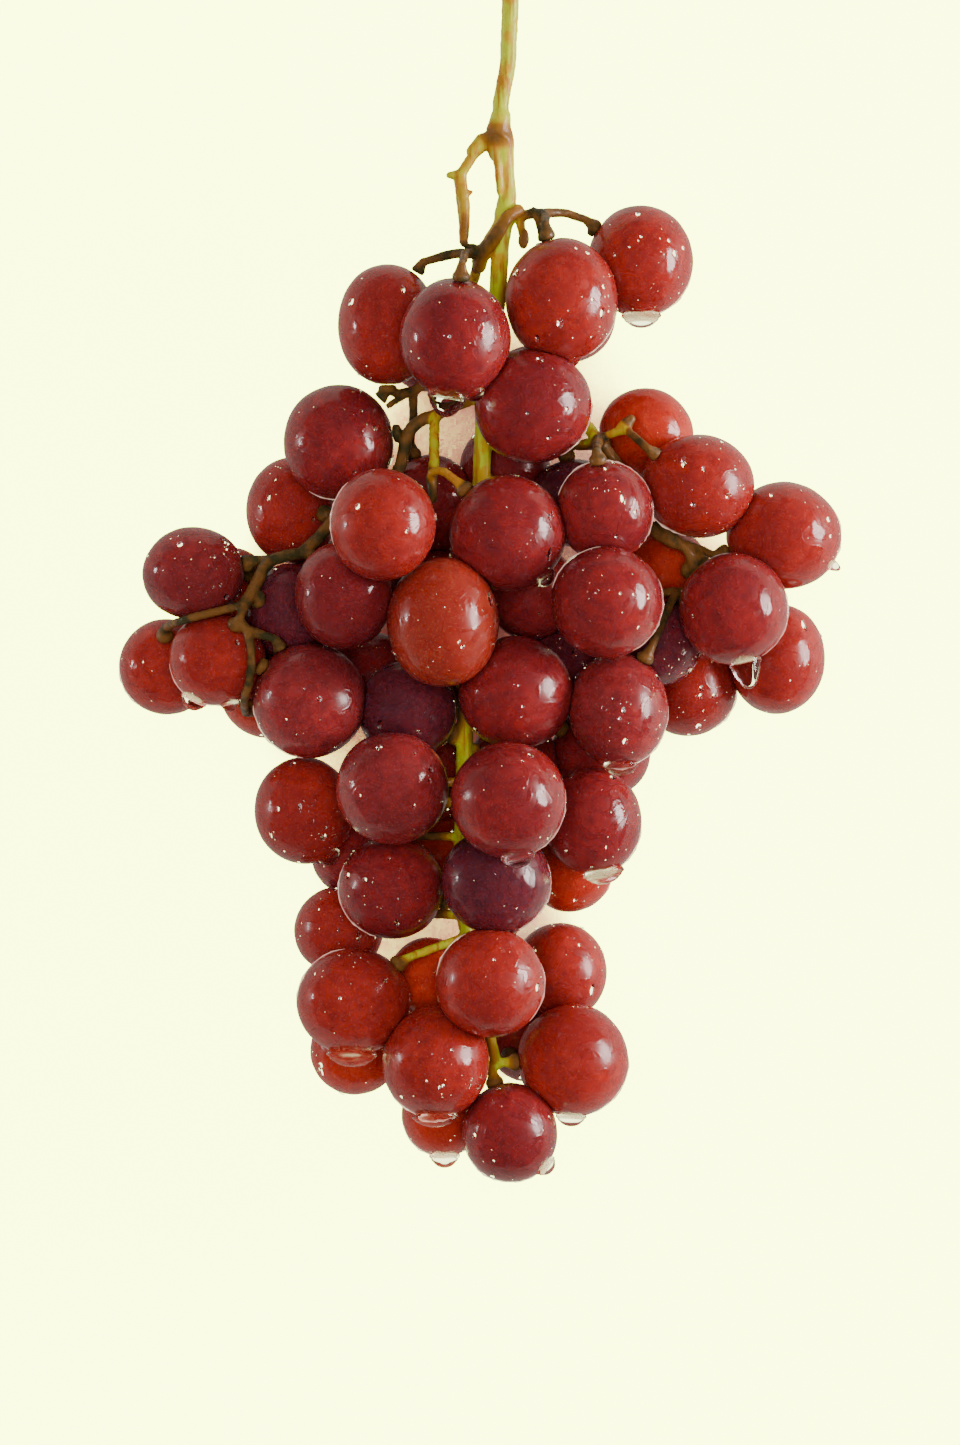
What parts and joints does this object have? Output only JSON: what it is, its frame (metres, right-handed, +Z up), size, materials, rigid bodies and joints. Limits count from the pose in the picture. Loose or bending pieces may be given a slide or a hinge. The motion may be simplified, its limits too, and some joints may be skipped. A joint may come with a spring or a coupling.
{
  "type": "bunch of grapes",
  "caption": "Bunch of large round red table grapes lying on its side, on a branched green-brown stem with a cut end; dresses a fruit bowl, board or table.",
  "frame": {"origin": "On the table under the middle of the bunch's bounding box", "axes": "+Y runs along the main stem towards its cut end, +Z is up off the table, +X is to the right seen from above with the cut end away from the viewer"},
  "size_m": [0.1459, 0.2469, 0.0601],
  "materials": {
    "grape_stem": "woody yellow-green stem with brown streaks, matte",
    "grape_skin": "smooth deep red grape skin with a faint waxy bloom, semi-gloss"
  },
  "bodies": {
    "root": {"stem": "grape_stem", "berries": "grape_skin"}
  },
  "joints": []
}
